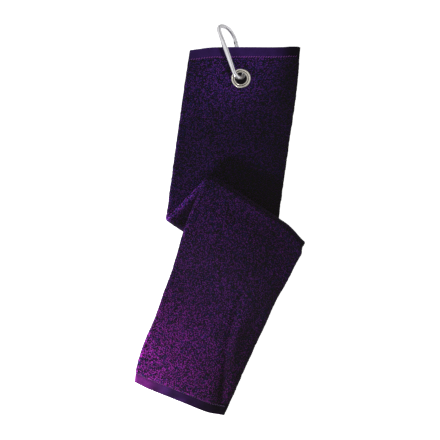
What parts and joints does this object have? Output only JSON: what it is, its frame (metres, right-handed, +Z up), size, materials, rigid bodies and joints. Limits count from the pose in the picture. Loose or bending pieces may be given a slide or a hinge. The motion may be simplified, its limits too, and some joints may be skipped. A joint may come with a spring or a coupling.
{
  "type": "golf towel",
  "caption": "Terry golf towel, folded lengthwise and loosely Z-folded, with a metal eyelet near the top hem and a spring-gate snap hook through it.",
  "frame": {"origin": "bottom centre of the whole object as it lies on a table", "axes": "+X along the top hem, +Y from the free end towards the snap hook, +Z up off the table"},
  "size_m": [0.2119, 0.4779, 0.0265],
  "materials": {
    "terry": "looped pile",
    "hem_weave": "flat woven",
    "thread": "sewing thread",
    "eyelet_metal": "nickel plated",
    "hook_metal": "polished",
    "pin_steel": "plain"
  },
  "bodies": {
    "towel_top": {"upper_panel": "terry", "upper_fold": "terry", "top_hem_band": "hem_weave", "top_hem_stitching": "thread", "grommet_eyelet": "eyelet_metal", "grommet_washer": "eyelet_metal"},
    "towel_middle": {"middle_panel": "terry", "lower_fold": "terry"},
    "towel_bottom": {"lower_panel": "terry", "bottom_hem_band": "hem_weave", "bottom_hem_stitching": "thread"},
    "snap_hook": {"hook_frame": "hook_metal", "gate_rivet": "pin_steel"},
    "hook_gate": {"gate": "hook_metal", "latch_pin": "pin_steel", "gate_spring": "pin_steel"},
    "gate_plunger": {"spring_plunger": "pin_steel"}
  },
  "joints": [
    {"name": "upper_fold_opens", "type": "hinge", "parent": "towel_top", "child": "towel_middle", "pos_m": [-0.00087, -0.03421, 0.007], "axis": [0.8368, -0.5476, 0], "range_deg": [0, 160], "deforming": ["upper_fold"]},
    {"name": "lower_fold_opens", "type": "hinge", "parent": "towel_middle", "child": "towel_bottom", "pos_m": [0.04288, 0.01257, 0.019], "axis": [-0.8368, 0.5476, 0], "range_deg": [0, 180], "deforming": ["lower_fold"]},
    {"name": "hook_swing", "type": "hinge", "parent": "towel_top", "child": "snap_hook", "pos_m": [0.0256, 0.173, 0.0105], "axis": [0, 0, 1], "range_deg": [-45, 25]},
    {"name": "gate_pivot", "type": "hinge", "parent": "snap_hook", "child": "hook_gate", "pos_m": [0.027, 0.19028, 0.00345], "axis": [0.741, 0.2067, 0.639], "range_deg": [0, 14], "stiffness_Nm_per_rad": 0.01, "springref_deg": -20.05},
    {"name": "plunger_travel", "type": "slide", "parent": "hook_gate", "child": "gate_plunger", "axis": [-0.2589, 0.9658, -0.0122], "range_m": [0, 0.0005], "deforming": ["gate_spring"]}
  ],
  "couplings": [
    {"joint": "plunger_travel", "follows": "gate_pivot", "m_per_rad": 0.002}
  ]
}
